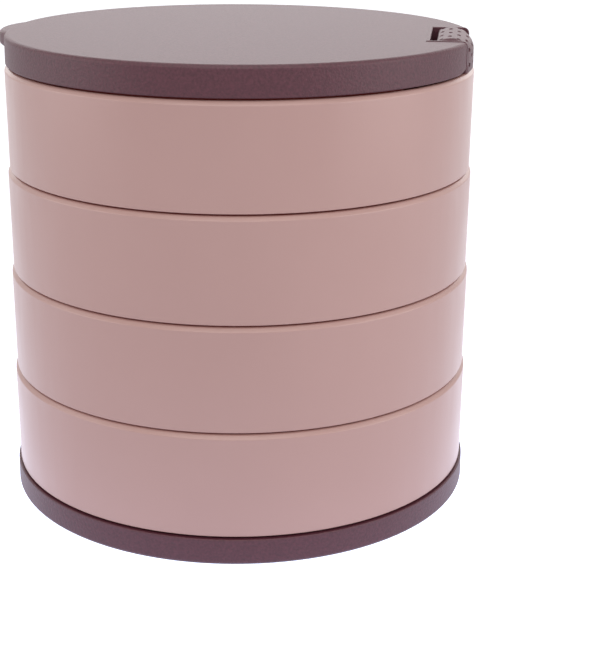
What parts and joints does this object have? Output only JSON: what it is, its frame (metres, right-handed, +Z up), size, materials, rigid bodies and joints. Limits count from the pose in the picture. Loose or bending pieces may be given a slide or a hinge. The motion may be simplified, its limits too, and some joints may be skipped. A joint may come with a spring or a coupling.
{
  "type": "rotating jewellery box",
  "caption": "Round jewellery box of stacked trays that swing out about a shaft at the rim, under a flat lid hinged on the same side, with a ring sponge and a mirror.",
  "frame": {"origin": "centre of the round footprint, on the table under the rubber mat", "axes": "+Z up, +X towards the shaft and the lid hinge, -X towards the finger tab"},
  "size_m": [0.1045, 0.102, 0.1023],
  "materials": {
    "pink_plastic": "satin moulded",
    "mauve_plastic": "fine matte grain",
    "steel": "turned",
    "nylon": "natural",
    "sponge": "flocked sponge",
    "foam_tape": "foam tape",
    "mirror": "silvered glass",
    "rubber": "matte"
  },
  "bodies": {
    "base": {"base_shell": "mauve_plastic", "grip_mat": "rubber", "pivot_shaft": "steel", "bottom_washer": "steel", "bottom_screw": "steel", "friction_washer_1": "nylon", "friction_washer_2": "nylon", "friction_washer_3": "nylon", "friction_washer_4": "nylon", "thrust_washer": "steel", "disc_spring": "steel", "top_washer": "steel", "top_screw": "steel"},
    "tray_4": {"tray_4": "pink_plastic"},
    "tray_3": {"tray_3": "pink_plastic"},
    "tray_2": {"tray_2": "pink_plastic"},
    "tray_1": {"tray_1": "pink_plastic", "ring_sponge": "sponge", "hinge_block": "mauve_plastic", "hinge_screws": "steel", "hinge_pin": "steel"},
    "lid": {"lid": "mauve_plastic", "mirror": "mirror", "mirror_tape": "foam_tape"}
  },
  "joints": [
    {"name": "tray_4_swing", "type": "hinge", "parent": "base", "child": "tray_4", "pos_m": [0.04322, 0, 0.01738], "axis": [0, 0, 1], "continuous": true},
    {"name": "tray_3_swing", "type": "hinge", "parent": "base", "child": "tray_3", "pos_m": [0.04322, 0, 0.03963], "axis": [0, 0, 1], "continuous": true},
    {"name": "tray_2_swing", "type": "hinge", "parent": "base", "child": "tray_2", "pos_m": [0.04322, 0, 0.06187], "axis": [0, 0, 1], "continuous": true},
    {"name": "tray_1_swing", "type": "hinge", "parent": "base", "child": "tray_1", "pos_m": [0.04322, 0, 0.08413], "axis": [0, 0, 1], "continuous": true},
    {"name": "lid_hinge", "type": "hinge", "parent": "tray_1", "child": "lid", "pos_m": [0.047, 0, 0.0982], "axis": [0, 1, 0], "range_deg": [0, 105]}
  ]
}
